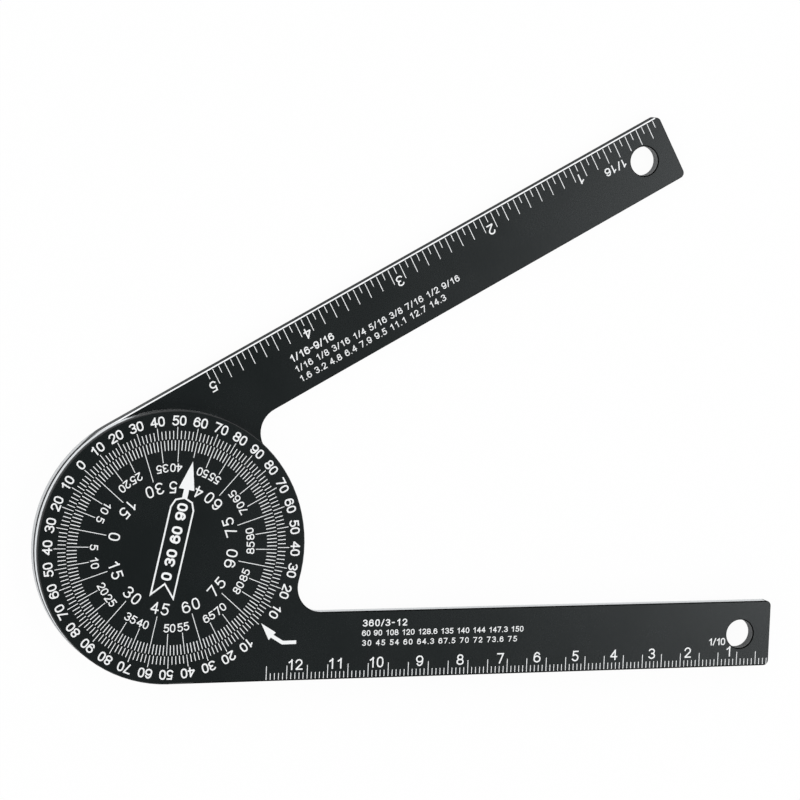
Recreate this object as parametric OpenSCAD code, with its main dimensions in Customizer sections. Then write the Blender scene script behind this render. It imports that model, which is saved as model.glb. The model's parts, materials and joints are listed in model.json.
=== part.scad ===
// Miter saw protractor: two flat arms stacked face to face that turn on a
// stepped dial. The inch arm lies underneath and carries the dial. The ring
// head of the metric arm turns on the dial's hub, trapped under its flange.
// Millimetres. The origin is on the pivot axis at the back face, +X runs
// along the inch arm and +Z points out of the dial's face.

/* [Arms] */
// Thickness of each arm's plate
plate_t = 3; // [2:0.1:5]
// Distance from the pivot axis to the end of an arm
arm_l = 152; // [90:1:260]
// Width of the straight bar of an arm
arm_w = 16; // [11:0.1:22]
// Radius of the concave blend between head and bar
neck_r = 6; // [2:0.5:9]
// Radius of the two corners at an arm's end
end_r = 1.3; // [1:0.1:3]
// Angle between the two bars as the tool is shown
open_angle = 29; // [0:1:150]

/* [Head] */
// Radius of the round head, also the distance from the pivot to a scale edge
head_r = 31.75; // [29:0.25:45]
// Bevel along the scale edges and round the lower head
scale_bevel = 0.35; // [0.1:0.05:0.5]
// Bevel on the other edges of the front face
rim_bevel = 0.2; // [0.1:0.05:0.5]
// Broken edge all round the back face
back_bevel = 0.2; // [0.1:0.05:0.5]

/* [Hanging holes] */
// Diameter of the hole at the end of each arm
hang_d = 7; // [3:0.5:9]
// Distance from the arm's end to the centre of its hole
hang_inset = 8; // [6:0.5:20]
// Chamfer of that hole at both faces
hang_bevel = 0.25; // [0.1:0.05:0.5]

/* [Dial] */
// Width of the upper head's face round the dial, from the seam to the rim
ring_w = 6.75; // [5:0.25:9]
// Width of the dial's flange past its hub, which covers the ring's ledge
ledge_w = 4; // [2.5:0.25:6]
// Thickness of the dial's flange
flange_t = 1.2; // [0.8:0.1:1.4]
// Thickness of the friction washer under the flange
washer_t = 0.3; // [0.1:0.05:0.4]

/* [Screws] */
// Radius of the circle that the screws lie on
screw_circle_r = 12; // [8:0.5:15]
// Thread diameter of a screw
screw_d = 3; // [2:0.5:4]
// Length of a countersunk screw over its head
screw_l = 5; // [4:0.1:5.3]
// Head diameter of a screw
screw_head_d = 5.6; // [5:0.1:6.5]
// Width across the flats of the hex socket
socket_af = 2; // [1.3:0.1:2.4]
// Depth of the hex socket
socket_depth = 0.9; // [0.5:0.1:1.2]

/* [Fits] */
// Radial running clearance between hub and ring head
hub_gap = 0.05; // [0.02:0.01:0.1]
// Radial gap of the seam between the flange and its recess
seam_gap = 0.1; // [0.05:0.05:0.3]
// Axial clearance at each sliding face
slide_gap = 0.05; // [0.02:0.01:0.1]
// Radial margin of the friction washer inside the recess
washer_margin = 0.3; // [0.1:0.1:1]
// Clearance all round a screw
screw_gap = 0.05; // [0.02:0.01:0.15]
// Depth of a screw's head below the back face
screw_sink = 0.1; // [0.05:0.05:0.3]
// Empty depth past a screw's tip in its blind hole
tip_gap = 0.2; // [0.1:0.1:0.4]

/* [Hidden] */
$fn = 96;
// Overrun of a cutting solid past the side or face that it opens
cut = 1;
// Overrun of a bevel's cutting solid above the face
over = 0.1;
// Overlap of the cutting solids of two bevels where their edges meet
lap = 0.001;
// Number of screws that hold the dial, each a node of its own
screw_n = 4;

// The dial's flange, and its hub, which the ring head turns on
dial_r = head_r - ring_w;
hub_r = dial_r - ledge_w;

// The bar's inner edge, and the centre of the concave blend beside it
inner_y = head_r - arm_w;
neck_y = inner_y - neck_r;
neck_x = sqrt(pow(head_r + neck_r, 2) - pow(neck_y, 2));
neck_angle = atan2(neck_y, neck_x);
lap_angle = lap / head_r * 180 / PI;

// Heights of the stack, from the back face up
metric_z = plate_t + slide_gap;
face_z = metric_z + plate_t;
flange_z = face_z - flange_t;
washer_z = flange_z - washer_t;
ledge_z = washer_z - slide_gap;

screw_head_h = (screw_head_d - screw_d) / 2;
screw_tip_z = screw_sink + screw_l;

anodised = [0.13, 0.14, 0.145];
nylon = [0.86, 0.85, 0.8];
steel = [0.6, 0.61, 0.63];

// Outline of an arm: a round head and a bar whose scale edge is tangent to it
module arm_outline() {
    circle(r = head_r);
    translate([0, inner_y])
        square([arm_l - end_r, arm_w]);
    translate([arm_l - 2 * end_r, inner_y + end_r])
        square([2 * end_r, arm_w - 2 * end_r]);
    for (y = [inner_y + end_r, head_r - end_r])
        translate([arm_l - end_r, y])
            circle(r = end_r, $fn = 48);
    difference() {
        polygon([[0, 0], [neck_x, neck_y], [neck_x, inner_y], [0, inner_y]]);
        translate([neck_x, neck_y])
            circle(r = neck_r);
    }
}

// Cuts a 45 degree bevel of width b along a straight edge that runs along +X,
// with the metal on the -Y side and the face at z = 0
module straight_bevel(length, b) {
    translate([0, 0, -b])
        rotate([90, 0, 90])
            linear_extrude(length)
                polygon([[0, 0], [cut, 0], [cut, b + over], [-b - over, b + over]]);
}

// Cuts a bevel of width b round a convex arc of radius r, from angle a0 to a1
module arc_bevel(r, b, a0, a1) {
    rotate([0, 0, a0])
        rotate_extrude(angle = a1 - a0)
            polygon([[r, -b], [r + cut, -b], [r + cut, over], [r - b - over, over]]);
}

// Cuts a bevel of width b round a concave arc of radius r, from angle a0 to a1
module hollow_bevel(r, b, a0, a1) {
    rotate([0, 0, a0])
        rotate_extrude(angle = a1 - a0)
            polygon([[r - cut, -b], [r, -b], [r + b + over, over], [r - cut, over]]);
}

// All bevels of one face of an arm: the scale edge, the head's rim and the rest
module face_bevels(scale_b, rim_b, other_b) {
    translate([0, head_r, 0])
        straight_bevel(arm_l + cut, scale_b);
    arc_bevel(head_r, rim_b, 90, 360 + neck_angle + lap_angle);
    translate([neck_x, neck_y, 0])
        hollow_bevel(neck_r, other_b, 90, 180 + neck_angle);
    translate([neck_x - lap, inner_y, 0])
        mirror([0, 1, 0])
            straight_bevel(arm_l + cut + lap - neck_x, other_b);
    translate([arm_l, head_r + cut, 0])
        rotate([0, 0, -90])
            straight_bevel(arm_w + 2 * cut, other_b);
    translate([arm_l - end_r, head_r - end_r, 0])
        arc_bevel(end_r, other_b, 0, 90);
    translate([arm_l - end_r, inner_y + end_r, 0])
        arc_bevel(end_r, other_b, 270, 360);
}

// Cuts a hole through the plate, chamfered at both faces
module hanging_hole() {
    translate([0, 0, -cut])
        cylinder(d = hang_d, h = plate_t + 2 * cut);
    translate([0, 0, plate_t - hang_bevel])
        hanging_chamfer();
    translate([0, 0, hang_bevel])
        mirror([0, 0, 1])
            hanging_chamfer();
}

// Cone that widens the hanging hole by hang_bevel on its way up to a face
module hanging_chamfer() {
    cylinder(d1 = hang_d, d2 = hang_d + 2 * (hang_bevel + over), h = hang_bevel + over);
}

// One arm as a flat plate with its bevels and its hanging hole
module arm_plate(rim_b) {
    difference() {
        linear_extrude(plate_t)
            arm_outline();
        translate([0, 0, plate_t])
            face_bevels(scale_bevel, rim_b, rim_bevel);
        mirror([0, 0, 1])
            face_bevels(back_bevel, back_bevel, back_bevel);
        translate([arm_l - hang_inset, head_r - arm_w / 2, 0])
            hanging_hole();
    }
}

// Places its children at screw number i of the circle
module at_screw(i) {
    rotate([0, 0, 45 + i * 360 / screw_n])
        translate([screw_circle_r, 0, 0])
            children();
}

// The cone and shank of one screw, grown by gap all round, up to tip_z
module screw_form(gap, tip_z) {
    translate([0, 0, screw_sink])
        cylinder(d1 = screw_head_d + 2 * gap, d2 = screw_d + 2 * gap, h = screw_head_h);
    translate([0, 0, screw_sink])
        cylinder(d = screw_d + 2 * gap, h = tip_z - screw_sink);
}

// Lower arm, with countersunk holes in its back for the dial's screws
module inch_arm() {
    color(anodised)
        difference() {
            arm_plate(scale_bevel);
            for (i = [0 : screw_n - 1])
                at_screw(i) {
                    screw_form(screw_gap, plate_t + cut);
                    translate([0, 0, -cut])
                        cylinder(d = screw_head_d + 2 * screw_gap, h = screw_sink + cut);
                }
        }
}

// Upper arm, whose head is a ring with a recess and a ledge for the flange
module metric_arm() {
    color(anodised)
        rotate([0, 0, -open_angle])
            difference() {
                translate([0, 0, metric_z])
                    mirror([0, 1, 0])
                        arm_plate(rim_bevel);
                translate([0, 0, metric_z - cut])
                    cylinder(r = hub_r + hub_gap, h = plate_t + 2 * cut);
                translate([0, 0, ledge_z])
                    cylinder(r = dial_r + seam_gap, h = plate_t);
            }
}

// Stepped dial: a hub that stands on the inch arm and a flange flush with the face
module dial() {
    color(anodised)
        difference() {
            rotate_extrude()
                polygon([[0, plate_t], [hub_r, plate_t], [hub_r, flange_z],
                         [dial_r, flange_z], [dial_r, face_z], [0, face_z]]);
            for (i = [0 : screw_n - 1])
                at_screw(i)
                    translate([0, 0, plate_t - cut])
                        cylinder(d = screw_d + 2 * screw_gap,
                                 h = screw_tip_z + tip_gap - plate_t + cut);
        }
}

// Thin plastic ring under the flange, which gives the joint its drag
module friction_washer() {
    color(nylon)
        translate([0, 0, washer_z])
            difference() {
                cylinder(r = dial_r - washer_margin, h = washer_t);
                translate([0, 0, -cut])
                    cylinder(r = hub_r + hub_gap, h = washer_t + 2 * cut);
            }
}

// Countersunk screw number i, with a hex socket, driven in from the back
module dial_screw(i) {
    color(steel)
        at_screw(i)
            difference() {
                screw_form(0, screw_tip_z);
                translate([0, 0, screw_sink - cut])
                    cylinder(d = socket_af / cos(30), h = socket_depth + cut, $fn = 6);
            }
}

inch_arm();
metric_arm();
dial();
friction_washer();
dial_screw(0);  // dial_screw_1
dial_screw(1);  // dial_screw_2
dial_screw(2);  // dial_screw_3
dial_screw(3);  // dial_screw_4
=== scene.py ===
"""Looks of a miter saw protractor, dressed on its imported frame.

Two black anodised arms turn on a dial. The frame brings all eight solid pieces, and this script
gives each its finish, then lays the white scales, numerals, arrows and number tables on the faces.
Lengths in the classes are millimetres, and meshes are built in metres.
"""
import json
import logging
import math
from dataclasses import dataclass, field
from enum import Enum
from functools import cache, reduce

import bpy
from bpy.types import Material, Node, NodeSocket as Socket, NodeTree, Object
from mathutils import Euler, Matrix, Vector
from mathutils.geometry import delaunay_2d_cdt


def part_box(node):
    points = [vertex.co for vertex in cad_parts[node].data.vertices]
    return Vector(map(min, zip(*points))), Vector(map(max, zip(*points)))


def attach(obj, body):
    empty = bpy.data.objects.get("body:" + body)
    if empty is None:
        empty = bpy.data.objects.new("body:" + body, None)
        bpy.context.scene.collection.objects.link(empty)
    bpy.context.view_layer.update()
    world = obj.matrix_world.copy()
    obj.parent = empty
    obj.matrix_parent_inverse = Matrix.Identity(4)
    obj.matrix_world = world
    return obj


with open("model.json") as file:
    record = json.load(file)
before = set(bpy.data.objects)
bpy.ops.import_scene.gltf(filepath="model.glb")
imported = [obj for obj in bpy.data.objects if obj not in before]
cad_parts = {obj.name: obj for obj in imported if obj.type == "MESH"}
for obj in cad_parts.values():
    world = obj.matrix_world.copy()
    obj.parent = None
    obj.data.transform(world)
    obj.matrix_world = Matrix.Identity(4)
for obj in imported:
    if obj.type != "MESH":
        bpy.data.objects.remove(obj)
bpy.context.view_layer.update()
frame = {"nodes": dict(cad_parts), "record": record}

MM = 0.001
QUARTER_TURN = 90
HALF_TURN = 180
FULL_TURN = 360
SNAP = 1e-5
WHITE = (1.0, 1.0, 1.0, 1.0)
log = logging.getLogger("protractor")

Point = tuple[float, float]
Triple = tuple[float, float, float]
Polygon = list[Point]
Region = tuple[list[Point], list[list[int]]]
Value = Socket | float
Colour = Socket | Triple


class Body(Enum):
    """The two halves of the tool that turn against each other."""

    INCH = "inch_side"
    METRIC = "metric_side"


class Slot(Enum):
    """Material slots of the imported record."""

    INCH_ARM = "inch_arm_anodised"
    METRIC_ARM = "metric_arm_anodised"
    DIAL = "dial_anodised"
    WASHER = "washer_nylon"
    SCREW = "screw_steel"


@dataclass(frozen=True)
class Face:
    """A flat face to print on: its height, the half it turns with and the turn of its frame."""

    z: float
    body: Body
    turn: float = 0.0


@dataclass(frozen=True)
class ToolSizes:
    """Sizes of the tool in millimetres and degrees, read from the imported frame."""

    head_r: float
    arm_l: float
    arm_w: float
    dial_r: float
    lower_face: float
    upper_face: float
    open_angle: float
    hole_x: float
    hole_y: float

    @classmethod
    def from_frame(cls, record: dict) -> "ToolSizes":
        """Works the sizes out from the boxes of the CAD nodes and the record's mounts.

        Args:
            record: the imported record.

        Returns:
            The tool's sizes.
        """
        arm_lo, arm_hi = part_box("inch_arm")
        _, dial_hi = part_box("dial")
        holes = {mount["name"]: mount["pos_m"] for mount in record["mounts"]}
        inch_hole = holes["inch_hanging_hole"]
        metric_hole = holes["metric_hanging_hole"]
        head_r = -arm_lo.x / MM
        inch_turn = math.degrees(math.atan2(inch_hole[1], inch_hole[0]))
        metric_turn = math.degrees(math.atan2(metric_hole[1], metric_hole[0]))
        return cls(
            head_r=head_r,
            arm_l=arm_hi.x / MM,
            arm_w=2 * (head_r - inch_hole[1] / MM),
            dial_r=dial_hi.x / MM,
            lower_face=arm_hi.z / MM,
            upper_face=dial_hi.z / MM,
            open_angle=-metric_turn - inch_turn,
            hole_x=inch_hole[0] / MM,
            hole_y=inch_hole[1] / MM,
        )

    @property
    def inch_face(self) -> Face:
        """The face of the lower arm."""
        return Face(self.lower_face, Body.INCH)

    @property
    def metric_face(self) -> Face:
        """The face of the upper arm and its ring head, in that arm's own frame."""
        return Face(self.upper_face, Body.METRIC, -self.open_angle)

    @property
    def dial_face(self) -> Face:
        """The face of the dial."""
        return Face(self.upper_face, Body.INCH)


class NodeKit:
    """Short calls that add, set and join the nodes of one shader tree."""

    def __init__(self, tree: NodeTree) -> None:
        """Starts an empty tree."""
        self.tree = tree
        tree.nodes.clear()

    def add(self, kind: str, values: dict | None = None, **props: object) -> Node:
        """Adds a node, sets its properties, and sets or links its inputs.

        Args:
            kind: Blender's name of the node type.
            values: constants or output sockets by input name or number.
            props: properties of the node itself.

        Returns:
            The new node.
        """
        node = self.tree.nodes.new(kind)
        for key, value in props.items():
            setattr(node, key, value)
        for key, value in (values or {}).items():
            if isinstance(value, Socket):
                self.tree.links.new(value, node.inputs[key])
            else:
                node.inputs[key].default_value = value
        return node

    def place(self) -> Socket:
        """The object coordinates, in metres."""
        return self.add("ShaderNodeTexCoord").outputs["Object"]

    def math(self, operation: str, a: Value, b: Value = 0.0, c: Value = 0.0) -> Socket:
        """One step of arithmetic on sockets or numbers."""
        return self.add("ShaderNodeMath", {0: a, 1: b, 2: c}, operation=operation).outputs[0]

    def all_of(self, *masks: Value) -> Value:
        """The product of masks or levels, which is one where all of them are."""
        return reduce(lambda a, b: self.math("MULTIPLY", a, b), masks)

    def either(self, a: Value, b: Value) -> Socket:
        """A mask that is one where at least one of two masks is."""
        return self.math("MAXIMUM", a, b)

    def above(self, value: Value, limit: Value) -> Socket:
        """A mask that is one where value exceeds limit."""
        return self.math("GREATER_THAN", value, limit)

    def below(self, value: Value, limit: Value) -> Socket:
        """A mask that is one where value is under limit."""
        return self.math("LESS_THAN", value, limit)

    def ranged(self, value: Value, low: float, high: float) -> Socket:
        """Maps a value from 0..1 to low..high."""
        return self.math("MULTIPLY_ADD", value, high - low, low)

    def ramp(self, value: Socket, low: float, high: float) -> Socket:
        """Rises smoothly from nought at low to one at high."""
        values = {"Value": value, "From Min": low, "From Max": high}
        return self.add("ShaderNodeMapRange", values, interpolation_type="SMOOTHSTEP").outputs[0]

    def blend(self, factor: Value, a: Value, b: Value) -> Socket:
        """A number that is a where factor is nought and b where it is one."""
        return self.add("ShaderNodeMix", {0: factor, 2: a, 3: b}, data_type="FLOAT").outputs[0]

    def mix_colour(self, factor: Value, a: Colour, b: Colour) -> Socket:
        """A blend of two colours.

        Args:
            factor: nought for the first colour, one for the second.
            a: first colour, a socket or red, green and blue.
            b: second colour, in the same form.

        Returns:
            The blended colour.
        """
        values = {0: factor}
        for index, colour in ((6, a), (7, b)):
            values[index] = colour if isinstance(colour, Socket) else (*colour, 1.0)
        return self.add("ShaderNodeMix", values, data_type="RGBA").outputs[2]

    def noise(self, place: Socket, period_mm: float, detail: float) -> Socket:
        """Smooth noise from nought to one.

        Args:
            place: socket with the object coordinates, in metres.
            period_mm: width of the grain.
            detail: number of finer octaves.

        Returns:
            The noise value.
        """
        values = {"Vector": place, "Scale": 1 / (period_mm * MM), "Detail": detail}
        return self.add("ShaderNodeTexNoise", values).outputs[0]


@dataclass(frozen=True)
class Finish:
    """A procedural finish, made once as a Blender material."""

    name: str

    def material(self) -> Material:
        """Makes the material.

        Returns:
            The new material.
        """
        material = bpy.data.materials.new(self.name)
        material.use_nodes = True
        kit = NodeKit(material.node_tree)
        shader = self.shade(kit)
        kit.add("ShaderNodeOutputMaterial", {0: shader.outputs[0]})
        return material

    def shade(self, kit: NodeKit) -> Node:
        """Builds the surface shader in the tree and returns it."""
        raise NotImplementedError

    @staticmethod
    def bump(kit: NodeKit, height: Socket, depth_mm: float) -> Socket:
        """A bumped normal from a height of nought to one, depth_mm deep."""
        values = {"Height": height, "Strength": 1.0, "Distance": depth_mm * MM}
        return kit.add("ShaderNodeBump", values).outputs[0]


@dataclass(frozen=True)
class Anodised(Finish):
    """Satin black anodised aluminium with bevels blackened as painted shade, and bare metal where a
    mask says so.

    Cloud, grain and streak are each a period in millimetres and a number of octaves.
    """

    base: Triple = (0.0036, 0.0060, 0.0060)
    worn: Triple = (0.0054, 0.0082, 0.0084)
    # Painted shade: bevels take this near-black colour and are made metallic, so that they reflect
    # almost nothing and show as dark lines along the edges.
    edge: Triple = (0.002, 0.002, 0.002)
    bare: Triple = (0.86, 0.87, 0.88)
    sheen_tint: tuple[float, float, float, float] = (0.95, 0.98, 1.0, 1.0)
    specular: float = 0.5
    rough: float = 0.26
    rough_swing: float = 0.03
    wall_rough: float = 0.85
    bare_rough: float = 0.2
    cloud: Point = (14.0, 3.0)
    grain: Point = (0.22, 1.0)
    grain_depth_mm: float = 0.0035
    streak: Point = (0.6, 2.0)
    streak_dark: float = 0.86
    wall_lean: float = 0.3
    slope_lean: float = 0.5
    flat_lean: float = 0.9

    def sloped(self, kit: NodeKit, lean: Socket) -> Value:
        """A mask that is one on bevels."""
        return kit.all_of(kit.above(lean, self.slope_lean), kit.below(lean, self.flat_lean))

    def bare_mask(self, kit: NodeKit, place: Socket, lean: Socket) -> Socket | None:
        """Where the metal is bare: nowhere on a plain piece."""
        return None

    def shade(self, kit: NodeKit) -> Node:
        """Builds the anodised skin, with bare metal inside the mask.

        Args:
            kit: the tree's node kit.

        Returns:
            The shader node.
        """
        place = kit.place()
        cloud = kit.noise(place, *self.cloud)
        grain = kit.noise(place, *self.grain)
        normal = kit.add("ShaderNodeNewGeometry").outputs["True Normal"]
        lean = kit.math("ABSOLUTE", kit.add("ShaderNodeSeparateXYZ", {0: normal}).outputs[2])
        swing = self.rough_swing
        rough = kit.math("ADD", kit.ranged(cloud, self.rough - swing, self.rough + swing),
                         kit.ranged(grain, -swing, swing))
        rough = kit.blend(kit.below(lean, self.flat_lean), rough, self.wall_rough)
        # Painted shade: the bevels become near-black metal that reflects almost nothing, for dark
        # lines along the edges.
        metal = self.sloped(kit, lean)
        skin = kit.mix_colour(metal, kit.mix_colour(cloud, self.base, self.worn), self.edge)
        mask = self.bare_mask(kit, place, lean)
        if mask is not None:
            streak = kit.noise(place, *self.streak)
            dull = tuple(self.streak_dark * c for c in self.bare)
            skin = kit.mix_colour(mask, skin, kit.mix_colour(streak, self.bare, dull))
            metal = kit.either(mask, metal)
            rough = kit.blend(mask, rough, self.bare_rough)
        return kit.add("ShaderNodeBsdfPrincipled", {
            "Base Color": skin,
            "Metallic": metal,
            "Roughness": rough,
            "Specular IOR Level": self.specular,
            "Specular Tint": self.sheen_tint,
            "Normal": self.bump(kit, grain, self.grain_depth_mm),
        })


@dataclass(frozen=True)
class ArmFinish(Anodised):
    """Anodised arm whose inner wall, head wall and scale bevel are machined bare.

    The levels say how bright the bare metal of a zone is, and a skin is the dark strip that the
    anodising leaves along the top of a wall. On the head the skin reaches deeper, and there it is
    also painted shade of the gap between the two plates. At the bottom of the head wall the bare
    metal is dimmed as painted shade, for the contact shadow and the line between the plates.
    """

    sizes: ToolSizes | None = None
    turn: float = 0.0
    side: float = 1.0
    top: float = 0.0
    bevel_level: float = 1.0
    rim_level: float = 0.0
    wall_level: float = 0.75
    head_level: float = 0.95
    hole_level: float = 0.2
    skin_level: float = 0.08
    # Painted shade: share of the bare metal left at the bottom of the head wall, for the contact
    # shadow and the line between the plates.
    foot_level: float = 0.5
    skin_h: float = 0.5
    # Depth of the dark strip on the head: anodised skin together with painted shade of the gap
    # between the plates.
    head_skin_h: float = 0.95
    side_skin_h: float = 3.4
    # Depth in millimetres where that painted shade starts.
    foot_h: float = 2.6
    skin_fade_l: float = 30.0
    side_from: Point = (-9.0, 1.0)
    bevel_from: Point = (-6.0, 0.0)
    bevel_h: Point = (0.1, 0.5)
    bevel_end: float = 1.0
    wall_end: float = 1.4
    rim_w: float = 0.6
    hole_zone_r: float = 4.5
    head_margin: float = 0.3
    side_margin: float = 2.0
    dial_margin: float = 1.0

    def bare_mask(self, kit: NodeKit, place: Socket, lean: Socket) -> Socket:
        """Bare metal on the walls that were milled after anodising, and on the bright bevels.

        Args:
            kit: the tree's node kit.
            place: socket with the object coordinates.
            lean: socket that is one on level faces and nought on upright walls.

        Returns:
            How bare the metal is, from nought to one.
        """
        s = self.sizes
        own = kit.add("ShaderNodeVectorRotate", {"Vector": place, "Angle": math.radians(self.turn)},
                      rotation_type="Z_AXIS").outputs[0]
        x, across, z = kit.add("ShaderNodeSeparateXYZ", {0: own}).outputs
        y = kit.math("MULTIPLY", across, self.side)
        flat = kit.add("ShaderNodeCombineXYZ", {0: x, 1: y}).outputs[0]
        radius = kit.add("ShaderNodeVectorMath", {0: flat}, operation="LENGTH").outputs["Value"]
        hole = (s.hole_x * MM, s.hole_y * MM, 0.0)
        from_hole = kit.add("ShaderNodeVectorMath", {0: flat, 1: hole}, operation="DISTANCE")
        off_hole = kit.above(from_hole.outputs["Value"], self.hole_zone_r * MM)
        depth = kit.math("MULTIPLY", kit.math("SUBTRACT", self.top * MM, z), 1 / MM)
        on_head = kit.below(radius, (s.head_r + self.head_margin) * MM)
        on_side = kit.above(y, (s.head_r - s.arm_w + self.side_margin) * MM)

        side = kit.all_of(on_side, kit.ramp(x, *(at * MM for at in self.side_from)))
        # On the head the dark strip reaches deeper, partly as painted shade of the gap between the
        # plates.
        skin_h = kit.blend(on_head, self.skin_h, self.head_skin_h)
        skin_h = kit.blend(side, skin_h, self.side_skin_h)
        skin = kit.ranged(kit.ramp(x, 0.0, self.skin_fade_l * MM), self.skin_level, 0.0)
        bare = kit.blend(on_head, self.wall_level, self.head_level)
        # Painted shade: the bottom of the head wall is dimmed, for the contact shadow on the floor
        # and the line between the plates.
        foot_shade = kit.all_of(on_head, kit.above(depth, self.foot_h))
        at_end = kit.above(x, (s.arm_l - self.wall_end) * MM)
        level = kit.all_of(kit.blend(kit.above(depth, skin_h), skin, bare),
                           kit.ranged(foot_shade, 1.0, self.foot_level), kit.math("SUBTRACT", 1.0, at_end))
        past_dial = kit.above(radius, (s.dial_r + self.dial_margin) * MM)
        wall = kit.all_of(kit.below(lean, self.wall_lean), past_dial,
                          kit.blend(off_hole, self.hole_level, level))

        low, high = self.bevel_h
        front = kit.all_of(self.sloped(kit, lean), kit.below(depth, high), off_hole)
        scale = kit.all_of(on_side, kit.ramp(x, *(at * MM for at in self.bevel_from)),
                           kit.below(x, (s.arm_l - self.bevel_end) * MM),
                           kit.above(depth, low), self.bevel_level)
        on_rim = kit.above(radius, (s.head_r - self.rim_w) * MM)
        rim = kit.all_of(on_head, on_rim, self.rim_level)
        return kit.either(wall, kit.all_of(front, kit.either(scale, rim)))


@dataclass(frozen=True)
class Mottled(Finish):
    """A finish whose colour and sheen vary with smooth noise, over a finely uneven surface.

    Mottle and relief are each a period in millimetres and a number of octaves.
    """

    light: Triple
    dark: Triple
    rough: Point
    mottle: Point
    relief: Point
    relief_depth_mm: float
    metallic: float = 0.0
    specular: float = 0.5

    def shade(self, kit: NodeKit) -> Node:
        """Builds the surface shader.

        Args:
            kit: the tree's node kit.

        Returns:
            The shader node.
        """
        place = kit.place()
        mottle = kit.noise(place, *self.mottle)
        relief = kit.noise(place, *self.relief)
        return kit.add("ShaderNodeBsdfPrincipled", {
            "Base Color": kit.mix_colour(mottle, self.light, self.dark),
            "Metallic": self.metallic,
            "Roughness": kit.ranged(mottle, *self.rough),
            "Specular IOR Level": self.specular,
            "Normal": self.bump(kit, relief, self.relief_depth_mm),
        })


WHITE_PRINT = Mottled("white_print", light=(0.93, 0.94, 0.94), dark=(0.84, 0.86, 0.87),
                      rough=(0.45, 0.65), mottle=(0.35, 2.0), relief=(0.35, 2.0),
                      relief_depth_mm=0.003, specular=0.3)
NYLON = Mottled("washer_white", light=(0.78, 0.76, 0.70), dark=(0.62, 0.60, 0.54),
                rough=(0.4, 0.6), mottle=(5.0, 3.0), relief=(0.4, 2.0), relief_depth_mm=0.004)
ZINC = Mottled("screw_zinc", light=(0.60, 0.61, 0.64), dark=(0.44, 0.45, 0.46), rough=(0.24, 0.42),
               mottle=(0.9, 4.0), relief=(0.9, 4.0), relief_depth_mm=0.004, metallic=1.0)


@dataclass(frozen=True)
class Pen:
    """Draws a line of constant width as a set of overlapping polygons."""

    width: float
    sharp_turn: float = 75.0
    mitre_limit: float = 2.2
    least_lean: float = 1e-6

    def draw(self, points: list[Point], closed: bool = False) -> list[Polygon]:
        """Covers a line with polygons.

        Args:
            points: the line's centre points.
            closed: whether the last point joins the first.

        Returns:
            Convex polygons that may overlap.
        """
        half = self.width / 2
        line = [Vector(p) for p in points]
        if not closed:
            line[0] = line[0] + (line[0] - line[1]).normalized() * half
            line[-1] = line[-1] + (line[-1] - line[-2]).normalized() * half
        count = len(line)
        spans = [(i, (i + 1) % count) for i in range(count if closed else count - 1)]
        across = [self._across(line[a], line[b]) * half for a, b in spans]
        polygons = []
        for k, (a, b) in enumerate(spans):
            before = across[k - 1] if k or closed else None
            after = across[(k + 1) % len(spans)] if k + 1 < len(spans) or closed else None
            start = self._corner(across[k], before, half)
            end = self._corner(across[k], after, half)
            polygons.append([line[a] + start, line[a] - start, line[b] - end, line[b] + end])
            if after is not None and self._is_sharp(across[k], after):
                polygons.append(self._wedge(line[b], across[k], after, half))
        return [[tuple(p) for p in polygon] for polygon in polygons]

    @staticmethod
    def _across(a: Vector, b: Vector) -> Vector:
        """Unit vector to the left of the way from a to b."""
        way = (b - a).normalized()
        return Vector((-way.y, way.x))

    def _is_sharp(self, a: Vector, b: Vector) -> bool:
        """Whether two spans meet at a corner too sharp to mitre in one piece."""
        return math.degrees(a.angle(b)) > self.sharp_turn

    def _corner(self, across: Vector, other: Vector | None, half: float) -> Vector:
        """Offset from the centre line at a span's end, mitred with its neighbour.

        Args:
            across: the span's own offset to its left.
            other: the neighbour's offset, or None at a free end.
            half: half the line's width.

        Returns:
            The offset of the corner on the left.
        """
        if other is None or self._is_sharp(across, other):
            return across
        middle = (across + other).normalized()
        return middle * (half * half / middle.dot(across))

    def _wedge(self, at: Vector, a: Vector, b: Vector, half: float) -> Polygon:
        """Fills the outer side of a sharp corner, with a point where the limit allows.

        Args:
            at: the corner on the centre line.
            a, b: offsets to the left of the spans before and after it.
            half: half the line's width.

        Returns:
            The wedge's corners.
        """
        turns_left = a.x * b.y - a.y * b.x > 0
        out_a, out_b = (-a, -b) if turns_left else (a, b)
        polygon = [at, at + out_a]
        middle = (out_a + out_b).normalized()
        reach = half * half / max(middle.dot(out_a), self.least_lean)
        if reach <= self.mitre_limit * half:
            polygon.append(at + middle * reach)
        polygon.append(at + out_b)
        return polygon


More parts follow.
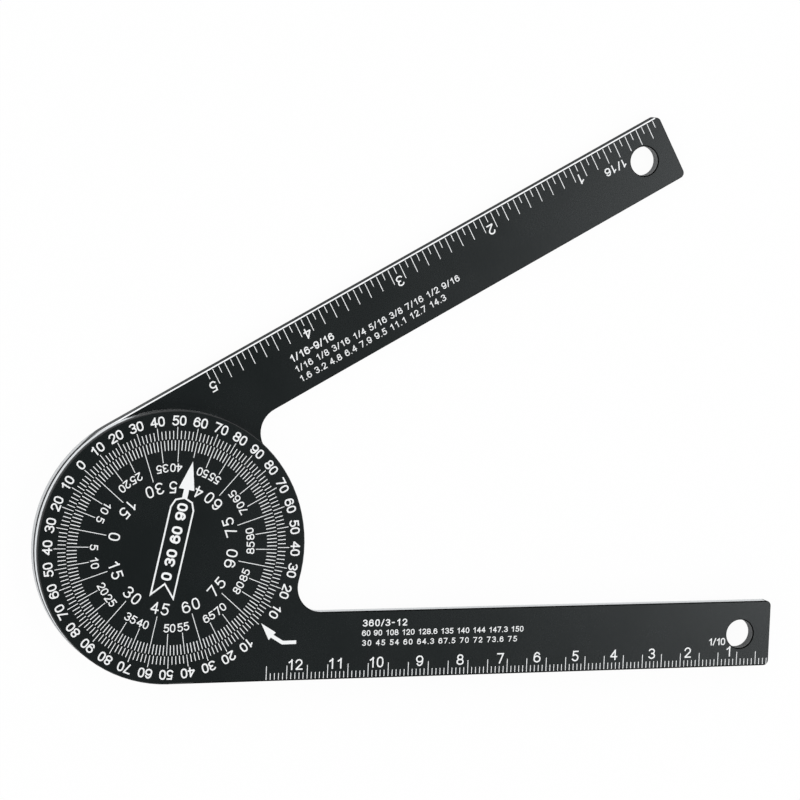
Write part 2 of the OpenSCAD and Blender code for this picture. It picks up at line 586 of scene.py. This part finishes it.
class Numerals:
    """Plain upright numerals drawn with a pen, one unit high."""

    ADVANCE = 0.77
    NARROW = {".": 0.36, " ": 0.45, "/": 0.52, "-": 0.58}
    ARC_STEP = 15.0

    @classmethod
    def _arc(cls, cx: float, cy: float, rx: float, ry: float, a0: float, a1: float) -> list[Point]:
        """Points on an elliptic arc.

        Args:
            cx, cy: the centre.
            rx, ry: the radii.
            a0, a1: angles of the first and the last point.

        Returns:
            The points.
        """
        steps = max(2, round(abs(a1 - a0) / cls.ARC_STEP))
        angles = [math.radians(a0 + (a1 - a0) * i / steps) for i in range(steps + 1)]
        return [(cx + rx * math.cos(a), cy + ry * math.sin(a)) for a in angles]

    @classmethod
    def _loop(cls, cx: float, cy: float, rx: float, ry: float, power: float) -> list[Point]:
        """Points round a closed rounded form.

        Args:
            cx, cy: the centre.
            rx, ry: the radii.
            power: two for an ellipse, and squarer as it grows.

        Returns:
            The points.
        """
        points = []
        for c, s in cls._arc(0, 0, 1, 1, 0, FULL_TURN)[:-1]:
            x = math.copysign(abs(c) ** (2 / power), c)
            y = math.copysign(abs(s) ** (2 / power), s)
            points.append((cx + rx * x, cy + ry * y))
        return points

    @classmethod
    def _strokes(cls, char: str) -> list[tuple[list[Point], bool]]:
        """Centre lines of a character.

        Args:
            char: a digit other than 9, a point, slash or dash.

        Returns:
            Each line with whether it is closed.
        """
        arc, loop = cls._arc, cls._loop
        return {
            "0": [(loop(0.265, 0.5, 0.265, 0.5, 2.5), True)],
            "1": [([(0.34, 0.0), (0.34, 1.0)], False), ([(0.36, 0.95), (0.08, 0.74)], False)],
            "2": [(arc(0.28, 0.71, 0.27, 0.29, 172, -38) + [(0.0, 0.0), (0.57, 0.0)], False)],
            "3": [(arc(0.27, 0.755, 0.26, 0.245, 155, -90), False),
                  (arc(0.27, 0.26, 0.29, 0.26, 90, -155), False)],
            "4": [([(0.45, 0.0), (0.45, 1.0)], False),
                  ([(0.43, 0.96), (0.0, 0.3), (0.62, 0.3)], False)],
            "5": [([(0.54, 1.0), (0.13, 1.0), (0.088, 0.56)], False),
                  (arc(0.28, 0.32, 0.29, 0.32, 125, -150), False)],
            "6": [(arc(0.31, 0.52, 0.28, 0.48, 38, 180) + [(0.02, 0.31)], False),
                  (loop(0.31, 0.31, 0.29, 0.31, 2.1), True)],
            "7": [([(0.02, 1.0), (0.58, 1.0), (0.22, 0.0)], False)],
            "8": [(loop(0.3, 0.75, 0.24, 0.25, 2.1), True),
                  (loop(0.3, 0.26, 0.29, 0.26, 2.1), True)],
            "/": [([(0.0, 0.0), (0.34, 1.0)], False)],
            "-": [([(0.06, 0.48), (0.34, 0.48)], False)],
            ".": [([(0.05, 0.0), (0.06, 0.0)], False)],
        }[char]

    @classmethod
    @cache
    def glyph(cls, char: str, weight: float) -> Region:
        """One character as joined faces, centred in x, from 0 to 1 in y.

        Args:
            char: a digit, point, slash or dash.
            weight: width of the stroke as a share of the height.

        Returns:
            Corner points, and faces as lists of their numbers.
        """
        if char == "9":
            points, faces = cls.glyph("6", weight)
            return [(-x, 1 - y) for x, y in points], faces
        pen = Pen(weight)
        polygons = []
        for line, closed in cls._strokes(char):
            fitted = [(x, weight / 2 + y * (1 - weight)) for x, y in line]
            polygons += pen.draw(fitted, closed)
        points, faces = merge(polygons)
        shift = (min(x for x, _ in points) + max(x for x, _ in points)) / 2
        return [(x - shift, y) for x, y in points], faces

    @classmethod
    def width(cls, text: str) -> float:
        """Width of a line of text one unit high."""
        return sum(cls.NARROW.get(c, cls.ADVANCE) for c in text)

    @classmethod
    def line(cls, text: str, spread: float) -> list[tuple[float, str]]:
        """Spaces the characters of a line one unit high, centred on nought.

        Args:
            text: the numerals.
            spread: factor on the distance between characters.

        Returns:
            The middle of each character along the line, and the character.
        """
        steps = [cls.NARROW.get(c, cls.ADVANCE) * spread for c in text]
        at = -sum(steps) / 2
        placed = []
        for char, step in zip(text, steps):
            if char != " ":
                placed.append((at + step / 2, char))
            at += step
        return placed


def area(polygon: Polygon) -> float:
    """Signed area of a polygon, positive when it runs anticlockwise."""
    turned = polygon[1:] + polygon[:1]
    return sum(a[0] * b[1] - b[0] * a[1] for a, b in zip(polygon, turned)) / 2


def covers(polygon: Polygon, x: float, y: float) -> bool:
    """Whether a point lies inside a polygon.

    Args:
        polygon: the polygon's corners.
        x, y: the point.

    Returns:
        True where it does.
    """
    inside = False
    for (ax, ay), (bx, by) in zip(polygon, polygon[1:] + polygon[:1]):
        if (ay > y) != (by > y) and x < ax + (y - ay) * (bx - ax) / (by - ay):
            inside = not inside
    return inside


def merge(polygons: list[Polygon]) -> Region:
    """Merges overlapping polygons into one region of triangles that share corners.

    Args:
        polygons: the polygons, which may run either way.

    Returns:
        Corner points, and faces as lists of their numbers.
    """
    points, edges = [], []
    for polygon in polygons:
        base, count = len(points), len(polygon)
        edges += [(base + i, base + (i + 1) % count) for i in range(count)]
        points += [Vector(p) for p in polygon]
    made = delaunay_2d_cdt(points, edges, [], 0, SNAP, False)
    corners = [tuple(p) for p in made[0]]
    kept = []
    for face in made[2]:
        x = sum(corners[i][0] for i in face) / len(face)
        y = sum(corners[i][1] for i in face) / len(face)
        if any(covers(polygon, x, y) for polygon in polygons):
            kept.append(list(face))
    used = sorted({i for face in kept for i in face})
    number = {old: new for new, old in enumerate(used)}
    return [corners[i] for i in used], [[number[i] for i in face] for face in kept]


def polar(radius: float, angle: float) -> Point:
    """The point at a radius and an angle in degrees."""
    a = math.radians(angle)
    return radius * math.cos(a), radius * math.sin(a)


@dataclass
class Inlay:
    """A printed piece: flat marks in one mesh, each a thin closed plate let into a face."""

    name: str
    face: Face
    verts: list[Triple] = field(default_factory=list, init=False)
    faces: list[tuple[int, ...]] = field(default_factory=list, init=False)

    RISE = 0.02
    SINK = 0.01

    def lay(self) -> None:
        """Lays the marks."""
        raise NotImplementedError

    def region(self, points: list[Point], faces: list[list[int]]) -> None:
        """Adds a flat region with its underside and its walls.

        Args:
            points: corner points in the face's frame.
            faces: anticlockwise faces as lists of corner numbers.
        """
        turn = math.radians(self.face.turn)
        c, s = math.cos(turn), math.sin(turn)
        base, count = len(self.verts), len(points)
        for z in (self.face.z + self.RISE, self.face.z - self.SINK):
            self.verts += [((c * x - s * y) * MM, (s * x + c * y) * MM, z * MM) for x, y in points]
        sides = set()
        for face in faces:
            self.faces.append(tuple(base + i for i in face))
            self.faces.append(tuple(base + count + i for i in reversed(face)))
            sides.update(zip(face, face[1:] + face[:1]))
        for a, b in sorted(sides):
            if (b, a) not in sides:
                self.faces.append((base + b, base + a, base + count + a, base + count + b))

    def polygon(self, points: Polygon) -> None:
        """Adds one simple polygon, whichever way it runs."""
        ordered = points if area(points) > 0 else points[::-1]
        self.region(ordered, [list(range(len(ordered)))])

    def bar(self, start: Point, end: Point, width: float) -> None:
        """Adds a straight mark of constant width with square ends.

        Args:
            start, end: middles of the two ends.
            width: the mark's width.
        """
        a, b = Vector(start), Vector(end)
        way = (b - a).normalized() * (width / 2)
        off = Vector((-way.y, way.x))
        self.polygon([tuple(a + off), tuple(a - off), tuple(b - off), tuple(b + off)])

    def text(self, text: str, centre: Point, height: float, right: Point,
             weight: float, spread: float = 1.0) -> None:
        """Adds a line of numerals.

        Args:
            text: the numerals.
            centre: middle of the line.
            height: height of the numerals.
            right: unit vector of the reading direction.
            weight: width of the stroke as a share of the height.
            spread: factor on the distance between characters.
        """
        up = (-right[1], right[0])
        for at, char in Numerals.line(text, spread):
            points, faces = Numerals.glyph(char, weight)
            placed = []
            for x, y in points:
                along = (at + x) * height
                rise = (y - 0.5) * height
                placed.append((centre[0] + along * right[0] + rise * up[0],
                               centre[1] + along * right[1] + rise * up[1]))
            self.region(placed, faces)

    def build(self, material: Material) -> Object:
        """Lays the marks, makes the mesh, gives it its finish and fixes it to its body.

        Args:
            material: the print's finish.

        Returns:
            The new piece.
        """
        self.lay()
        mesh = bpy.data.meshes.new(self.name)
        mesh.from_pydata(self.verts, [], self.faces)
        mesh.materials.append(material)
        mesh.update()
        piece = bpy.data.objects.new(self.name, mesh)
        bpy.context.scene.collection.objects.link(piece)
        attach(piece, self.face.body.value)
        log.info("%s: %d faces on %s", self.name, len(self.faces), self.face.body.value)
        return piece


@dataclass
class RingScale(Inlay):
    """Outer scale round the metric head: a mark every two degrees and numerals every ten."""

    zero: float = 139.3
    inner_r: float = 25.2
    short_r: float = 27.1
    long_r: float = 28.0
    short_w: float = 0.18
    long_w: float = 0.16
    step: int = 2
    number_step: int = 10
    number_r: float = 29.45
    number_h: float = 2.3
    number_turn: float = -0.6
    number_weight: float = 0.15

    def lay(self) -> None:
        """Lays the marks and numerals, with no numeral where the arm leaves the head."""
        for turn in range(0, FULL_TURN, self.step):
            angle = self.zero - turn
            major = turn % self.number_step == 0
            outer, width = (self.long_r, self.long_w) if major else (self.short_r, self.short_w)
            self.bar(polar(self.inner_r, angle), polar(outer, angle), width)
            if major and turn != HALF_TURN:
                at = angle + self.number_turn
                self.text(str(self.value_at(turn)), polar(self.number_r, at), self.number_h,
                          polar(1.0, at - QUARTER_TURN), self.number_weight)

    @staticmethod
    def value_at(turn: int) -> int:
        """The number shown at a turn from zero, which rises to 90 and falls again."""
        half = min(turn, FULL_TURN - turn)
        return min(half, HALF_TURN - half)


@dataclass
class DialScale(Inlay):
    """Inner scale on the dial: ninety units over half a turn, mirrored on the other half."""

    zero: float = 139.3
    units: int = 90
    small_step: int = 5
    large_step: int = 15
    arrow_step: int = 45
    outer_r: float = 24.95
    unit_r: float = 22.6
    small_mark_r: float = 19.9
    large_mark_r: float = 16.1
    arrow_mark_r: float = 21.3
    unit_w: float = 0.19
    long_w: float = 0.16
    small_r: float = 18.6
    small_h: float = 1.95
    small_weight: float = 0.138
    large_r: float = 14.2
    large_h: float = 2.75
    large_weight: float = 0.12
    large_spread: float = 1.16
    pair_turn: float = 1.0
    split_r: float = 14.1
    split_turn: Point = (-12.3, 12.9)

    def lay(self) -> None:
        """Lays the marks and numerals, with the digits of one numeral beside the arrow."""
        steps = 2 * self.units
        for step in range(steps):
            unit = min(step, steps - step)
            angle = self.zero - FULL_TURN / steps * step
            width = self.unit_w if unit % self.small_step else self.long_w
            inner = polar(self.inner_end(step, unit), angle)
            self.bar(polar(self.outer_r, angle), inner, width)
            if step == self.arrow_step:
                for digit, turn in zip(str(unit), self.split_turn):
                    self.number(digit, self.split_r, angle + turn, True)
            elif unit % self.small_step == 0:
                large = unit % self.large_step == 0
                turn = self.pair_turn if len(str(unit)) > 1 else 0.0
                self.number(str(unit), self.large_r if large else self.small_r, angle + turn, large)

    def inner_end(self, step: int, unit: int) -> float:
        """Radius at which a mark ends.

        Args:
            step: number of the mark, from zero round the whole dial.
            unit: value of the mark.

        Returns:
            The radius.
        """
        if step == self.arrow_step:
            return self.arrow_mark_r
        if unit % self.large_step == 0:
            return self.large_mark_r
        return self.unit_r if unit % self.small_step else self.small_mark_r

    def number(self, text: str, radius: float, angle: float, large: bool) -> None:
        """Lays a numeral that is read from outside the dial.

        Args:
            text: the digits.
            radius: distance of their middle from the dial's.
            angle: direction of their middle.
            large: whether they are of the large kind.
        """
        middle, right = polar(radius, angle), polar(1.0, angle + QUARTER_TURN)
        if large:
            self.text(text, middle, self.large_h, right, self.large_weight, self.large_spread)
        else:
            self.text(text, middle, self.small_h, right, self.small_weight)


@dataclass
class DialArrow(Inlay):
    """Large arrow on the dial with a swallow-tailed banner that holds plain numbers."""

    angle: float = 49.3
    aside: float = -0.05
    tip: float = 20.45
    head_base: float = 13.85
    head_half: float = 1.9
    neck_half: float = 0.62
    banner_half: float = 2.75
    shoulder_half: float = 2.0
    shoulder: float = 9.3
    roof: float = 0.75
    banner_top: float = 11.85
    tail: float = -11.4
    notch: float = -8.4
    line_w: float = 0.38
    sharp_turn: float = 170.0
    number: str = "0 30 60 90"
    number_at: float = 1.5
    number_h: float = 2.55
    number_weight: float = 0.2
    number_spread: float = 1.07

    def at(self, along: float, across: float) -> Point:
        """A point of the arrow.

        Args:
            along: distance from the dial's middle towards the tip.
            across: distance to the left of the arrow's line.

        Returns:
            The point in the dial's frame.
        """
        ax, ay = polar(1.0, self.angle)
        left = across + self.aside
        return along * ax - left * ay, along * ay + left * ax

    def lay(self) -> None:
        """Lays the arrow, the banner's outline and its numbers on the dial's face."""
        neck_end = self.banner_top - self.line_w / 2
        head = [(self.tip, 0.0), (self.head_base, self.head_half), (self.head_base, -self.head_half)]
        neck = [(self.head_base, self.neck_half), (neck_end, self.neck_half),
                (neck_end, -self.neck_half), (self.head_base, -self.neck_half)]
        eaves = self.banner_top - self.roof
        outline = [(self.banner_top, 0.0), (eaves, self.shoulder_half),
                   (self.shoulder, self.banner_half), (self.tail, self.banner_half),
                   (self.notch, 0.0), (self.tail, -self.banner_half),
                   (self.shoulder, -self.banner_half), (eaves, -self.shoulder_half)]
        pen = Pen(self.line_w, self.sharp_turn)
        polygons = pen.draw([self.at(*p) for p in outline], closed=True)
        polygons += [[self.at(*p) for p in part] for part in (head, neck)]
        self.region(*merge(polygons))
        self.text(self.number, self.at(self.number_at, 0.0), self.number_h,
                  polar(1.0, self.angle), self.number_weight, self.number_spread)


@dataclass
class MiterPointer(Inlay):
    """Bent arrow on the metric arm that points at the dial's inner scale."""

    tip: Point = (21.78, -17.99)
    corner_a: Point = (25.4, -20.25)
    corner_b: Point = (23.72, -21.97)
    bend: Point = (27.12, -22.69)
    end: Point = (30.02, -22.66)
    line_w: float = 0.85

    def lay(self) -> None:
        """Lays the arrow on the arm's face."""
        base = ((self.corner_a[0] + self.corner_b[0]) / 2, (self.corner_a[1] + self.corner_b[1]) / 2)
        polygons = Pen(self.line_w).draw([base, self.bend, self.end])
        polygons.append([self.tip, self.corner_b, self.corner_a])
        self.region(*merge(polygons))


@dataclass
class MetricScale(Inlay):
    """Millimetre scale along the metric arm's outer edge, numbered in centimetres."""

    sizes: ToolSizes
    count: int = 129
    long_step: int = 5
    long_at: int = 4
    past_end: float = 0.4
    start: float = 0.36
    short: float = 1.9
    long: float = 3.6
    width: float = 0.165
    centimetre: float = 10.0
    number_ahead: float = 1.8
    number_shift: tuple[float, ...] = (0.55, -0.3, 0.2, 0.26, 0.22, 0.39,
                                       1.05, 0.8, 0.6, -0.3, -0.33, -0.3)
    number_bottom: float = 2.5
    number_h: float = 2.55
    number_weight: float = 0.125
    number_spread: float = 1.05

    def lay(self) -> None:
        """Lays the scale, with each numeral a little ahead of its mark."""
        edge = -self.sizes.head_r
        zero = self.sizes.arm_l + self.past_end
        for k in range(1, self.count + 1):
            length = self.long if k % self.long_step == self.long_at else self.short
            self.bar((zero - k, edge + self.start), (zero - k, edge + length), self.width)
        for n, shift in enumerate(self.number_shift, start=1):
            centre = (zero - self.centimetre * n - (self.number_ahead - shift),
                      edge + self.number_bottom + self.number_h / 2)
            self.text(str(n), centre, self.number_h, (1.0, 0.0), self.number_weight,
                      self.number_spread)


@dataclass
class InchScale(Inlay):
    """Sixteenth-inch scale along the inch arm's outer edge."""

    sizes: ToolSizes
    count: int = 79
    per_inch: int = 16
    inch: float = 25.4
    inset: float = 0.4
    start: float = 0.35
    short: float = 2.1
    long: float = 4.2
    width: float = 0.17
    numbers: int = 5
    number_middle: float = 4.05
    number_h: float = 2.5
    number_weight: float = 0.13

    def lay(self) -> None:
        """Lays the scale, with numerals whose tops point away from the edge."""
        edge = self.sizes.head_r
        zero = self.sizes.arm_l - self.inset
        pitch = self.inch / self.per_inch
        for k in range(1, self.count + 1):
            x = zero - k * pitch
            length = self.short if k % 2 else self.long
            self.bar((x, edge - self.start), (x, edge - length), self.width)
        for n in range(1, self.numbers + 1):
            x = zero - (self.per_inch * n - 1) * pitch
            self.text(str(n), (x, edge - self.number_middle), self.number_h, (-1.0, 0.0),
                      self.number_weight)


@dataclass(frozen=True)
class TableLine:
    """One line of a number table, stretched to a given width."""

    text: str
    y: float
    width: float
    height: float
    weight: float = 0.15


@dataclass
class NumberTable(Inlay):
    """Lines of small plain numbers that start at one left edge."""

    left: float
    lines: tuple[TableLine, ...]

    def lay(self) -> None:
        """Lays the lines."""
        for line in self.lines:
            spread = line.width / (Numerals.width(line.text) * line.height)
            self.text(line.text, (self.left + line.width / 2, line.y), line.height, (1.0, 0.0),
                      line.weight, spread)


@dataclass
class UnitMark(Inlay):
    """A small plain fraction beside a hanging hole, which gives the scale's division."""

    number: str
    centre: Point
    height: float
    right: Point
    spread: float
    weight: float = 0.15

    def lay(self) -> None:
        """Lays the fraction."""
        self.text(self.number, self.centre, self.height, self.right, self.weight, self.spread)


@dataclass
class Frame:
    """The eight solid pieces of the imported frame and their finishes."""

    sizes: ToolSizes
    screws: int = 4

    def finishes(self) -> dict[str, tuple[Finish, Slot]]:
        """Chooses a finish for each piece.

        Returns:
            Finish and record slot by the name of the piece.
        """
        s = self.sizes
        inch = ArmFinish("inch_arm_black", sizes=s, top=s.lower_face, head_level=0.75)
        # The metric arm's deeper head strip is partly painted shade of the gap between the plates.
        metric = ArmFinish("metric_arm_black", sizes=s, turn=s.open_angle, side=-1.0,
                           top=s.upper_face, bevel_level=0.0, rim_level=0.09, hole_level=0.15,
                           skin_level=0.06, head_skin_h=1.1)
        chosen = {
            "inch_arm": (inch, Slot.INCH_ARM),
            "metric_arm": (metric, Slot.METRIC_ARM),
            "dial": (Anodised("dial_black"), Slot.DIAL),
            "friction_washer": (NYLON, Slot.WASHER),
        }
        for number in range(1, self.screws + 1):
            chosen[f"dial_screw_{number}"] = (ZINC, Slot.SCREW)
        return chosen

    def dress(self, nodes: dict[str, Object]) -> None:
        """Gives every CAD node its material, made once for each finish.

        Args:
            nodes: the frame's CAD nodes by name.
        """
        made: dict[str, Material] = {}
        for name, (finish, slot) in self.finishes().items():
            if finish.name not in made:
                made[finish.name] = finish.material()
            node = nodes[name]
            if not node.material_slots:
                node.data.materials.append(None)
            for material_slot in node.material_slots:
                material_slot.material = made[finish.name]
            log.info("%s: %s", name, finish.name)


@dataclass
class Studio:
    """Camera, floor and light."""

    eye: Triple = (-127.709, 215.045, 759.247)
    turn: Triple = (-7.3269, -19.4499, -26.7504)
    lens: float = 155.564
    sensor: float = 36.0
    near: float = 10.0
    far: float = 20000.0
    floor_half: float = 3000.0
    floor_z: float = -0.1
    floor_white: float = 0.9
    floor_glow: float = 0.96
    zenith: float = 0.042
    sky: float = 1.3
    zenith_edge: float = 0.88
    sky_edge: float = 0.80
    lamp_at: Triple = (720.0, -430.0, 1030.0)
    lamp_aim: Triple = (60.0, -20.0, 0.0)
    lamp_size: float = 420.0
    lamp_watts: float = 2.12

    def build(self) -> None:
        """Sets up the whole studio."""
        self.camera()
        self.floor()
        self.world()
        self.lamp()

    def camera(self) -> None:
        """Places the camera where the photograph was taken from."""
        data = bpy.data.cameras.new("photo_camera")
        data.lens = self.lens
        data.sensor_width = self.sensor
        data.clip_start = self.near * MM
        data.clip_end = self.far * MM
        camera = bpy.data.objects.new("photo_camera", data)
        camera.location = [c * MM for c in self.eye]
        camera.rotation_euler = Euler([math.radians(a) for a in self.turn])
        bpy.context.scene.collection.objects.link(camera)
        bpy.context.scene.camera = camera
        bpy.context.scene.view_settings.view_transform = "Standard"
        log.info("camera: %.2f mm lens at %s mm", self.lens, self.eye)

    def floor(self) -> None:
        """Lays a white floor that glows where it is seen, and still takes a soft shadow."""
        half, z = self.floor_half * MM, self.floor_z * MM
        mesh = bpy.data.meshes.new("floor")
        mesh.from_pydata([(-half, -half, z), (half, -half, z), (half, half, z), (-half, half, z)],
                         [], [(0, 1, 2, 3)])
        material = bpy.data.materials.new("floor_white")
        material.use_nodes = True
        kit = NodeKit(material.node_tree)
        matt = kit.add("ShaderNodeBsdfDiffuse", {"Color": (*[self.floor_white] * 3, 1.0)})
        glow = kit.add("ShaderNodeEmission", {"Color": WHITE, "Strength": 1.0})
        path = kit.add("ShaderNodeLightPath").outputs
        mirrored = kit.either(path["Is Glossy Ray"], path["Is Transmission Ray"])
        seen = kit.either(path["Is Camera Ray"], mirrored)
        share = kit.math("MULTIPLY", seen, self.floor_glow)
        mixed = kit.add("ShaderNodeMixShader", {0: share, 1: matt.outputs[0], 2: glow.outputs[0]})
        kit.add("ShaderNodeOutputMaterial", {0: mixed.outputs[0]})
        mesh.materials.append(material)
        floor = bpy.data.objects.new("floor", mesh)
        bpy.context.scene.collection.objects.link(floor)

    def world(self) -> None:
        """Surrounds the tool with soft light that is dimmer straight overhead."""
        world = bpy.data.worlds.new("studio")
        bpy.context.scene.world = world
        world.use_nodes = True
        kit = NodeKit(world.node_tree)
        way = kit.add("ShaderNodeTexCoord").outputs["Generated"]
        height = kit.add("ShaderNodeSeparateXYZ", {0: way}).outputs[2]
        light = kit.ranged(kit.ramp(height, self.sky_edge, self.zenith_edge), self.sky, self.zenith)
        direct = kit.add("ShaderNodeLightPath").outputs["Is Camera Ray"]
        strength = kit.blend(direct, light, 1.0)
        back = kit.add("ShaderNodeBackground", {"Color": WHITE, "Strength": strength})
        kit.add("ShaderNodeOutputWorld", {0: back.outputs[0]})

    def lamp(self) -> None:
        """Hangs one soft lamp to the right, which brightens the arms towards their ends."""
        data = bpy.data.lights.new("soft_lamp", "AREA")
        data.shape = "SQUARE"
        data.size = self.lamp_size * MM
        data.energy = self.lamp_watts
        lamp = bpy.data.objects.new("soft_lamp", data)
        lamp.location = [c * MM for c in self.lamp_at]
        aim = Vector([c * MM for c in self.lamp_aim]) - lamp.location
        lamp.rotation_euler = aim.to_track_quat("-Z", "Y").to_euler()
        lamp.visible_camera = False
        bpy.context.scene.collection.objects.link(lamp)
        log.info("studio: floor, world and one lamp")


def number_marks(s: ToolSizes) -> list[Inlay]:
    """The plain numbers on both arms, in tables and beside the hanging holes.

    The tables give angles of polygons, and sixteenths with millimetres. The fractions beside the
    holes are the divisions of the scales: tenths of a centimetre, and sixteenths of an inch.

    Args:
        s: the tool's sizes.

    Returns:
        The pieces.
    """
    edge = s.head_r
    polygons = (
        TableLine("360/3-12", y=-18.6, width=11.4, height=1.65, weight=0.16),
        TableLine("60 90 108 120 128.6 135 140 144 147.3 150", y=-20.97, width=40.8, height=1.35),
        TableLine("30 45 54 60 64.3 67.5 70 72 73.6 75", y=-23.32, width=39.3, height=1.35),
    )
    fractions = (
        TableLine("1/16-9/16", y=edge - 7.5, width=12.0, height=1.8, weight=0.16),
        TableLine("1/16 1/8 3/16 1/4 5/16 3/8 7/16 1/2 9/16", y=edge - 10.25, width=45.4,
                  height=1.55, weight=0.14),
        TableLine("1.6 3.2 4.8 6.4 7.9 9.5 11.1 12.7 14.3", y=edge - 12.75, width=40.4,
                  height=1.55, weight=0.14),
    )
    return [
        NumberTable("metric_table", s.metric_face, left=46.5, lines=polygons),
        NumberTable("inch_table", s.inch_face, left=44.9, lines=fractions),
        UnitMark("metric_unit", s.metric_face, "1/10", centre=(137.9, -25.5), height=1.75,
                 right=(1.0, 0.0), spread=0.92),
        UnitMark("inch_unit", s.inch_face, "1/16", centre=(136.8, edge - 5.9), height=2.0,
                 right=(-1.0, 0.0), spread=1.12),
    ]


def main() -> None:
    """Builds the studio, dresses the frame and lays all marks."""
    logging.basicConfig(level=logging.INFO, format="%(name)s: %(message)s")
    sizes = ToolSizes.from_frame(frame["record"])
    log.info("sizes: %s", sizes)
    Studio().build()
    Frame(sizes).dress(frame["nodes"])
    white = WHITE_PRINT.material()
    marks = [
        RingScale("ring_scale", sizes.metric_face),
        DialScale("dial_scale", sizes.dial_face),
        DialArrow("dial_arrow", sizes.dial_face),
        MiterPointer("miter_pointer", sizes.metric_face),
        MetricScale("metric_scale", sizes.metric_face, sizes),
        InchScale("inch_scale", sizes.inch_face, sizes),
        *number_marks(sizes),
    ]
    for mark in marks:
        mark.build(white)


if __name__ == "__main__":
    main()
